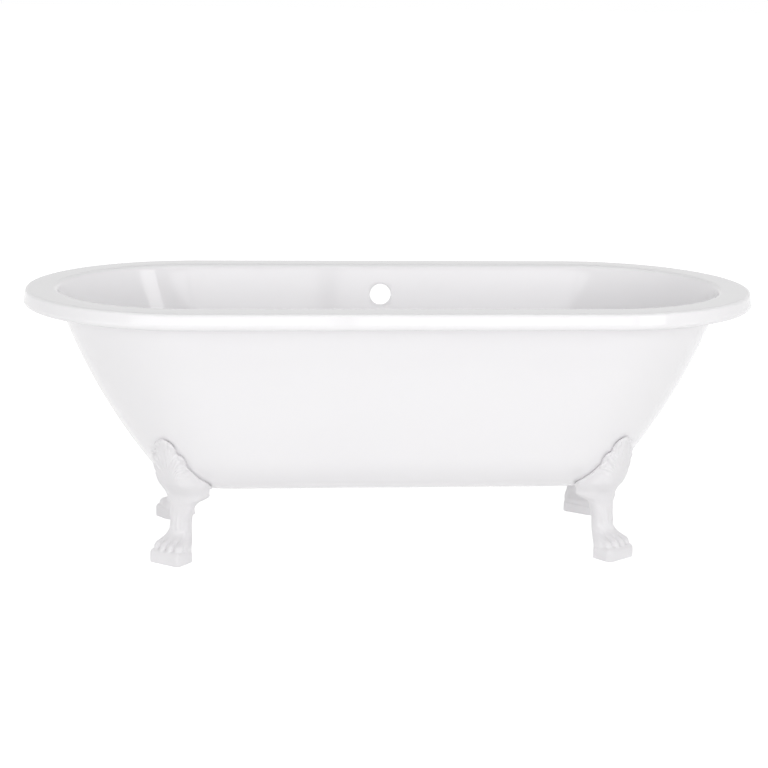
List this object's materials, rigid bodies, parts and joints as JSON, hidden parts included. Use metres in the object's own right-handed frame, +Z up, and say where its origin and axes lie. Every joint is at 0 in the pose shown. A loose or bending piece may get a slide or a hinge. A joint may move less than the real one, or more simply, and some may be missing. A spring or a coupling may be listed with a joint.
{
  "type": "bathtub",
  "caption": "Free-standing double-ended roll-top bath, cast iron with white enamel, on lion-paw feet fixed by studs, with open waste and overflow holes.",
  "frame": {"origin": "on the floor under the middle of the bath", "axes": "+X along the bath, -Y the front, +Y the side with the overflow hole, +Z up"},
  "size_m": [1.7, 0.78, 0.61],
  "materials": {
    "enamel": "white vitreous enamel, high gloss",
    "foot_paint": "white paint, satin",
    "zinc_steel": "zinc plated"
  },
  "bodies": {
    "root": {"tub_shell": "enamel", "foot_front_left": "foot_paint", "stud_front_left": "zinc_steel", "washer_front_left": "zinc_steel", "spring_washer_front_left": "zinc_steel", "nut_front_left": "zinc_steel", "foot_back_left": "foot_paint", "stud_back_left": "zinc_steel", "washer_back_left": "zinc_steel", "spring_washer_back_left": "zinc_steel", "nut_back_left": "zinc_steel", "foot_front_right": "foot_paint", "stud_front_right": "zinc_steel", "washer_front_right": "zinc_steel", "spring_washer_front_right": "zinc_steel", "nut_front_right": "zinc_steel", "foot_back_right": "foot_paint", "stud_back_right": "zinc_steel", "washer_back_right": "zinc_steel", "spring_washer_back_right": "zinc_steel", "nut_back_right": "zinc_steel"}
  },
  "joints": []
}
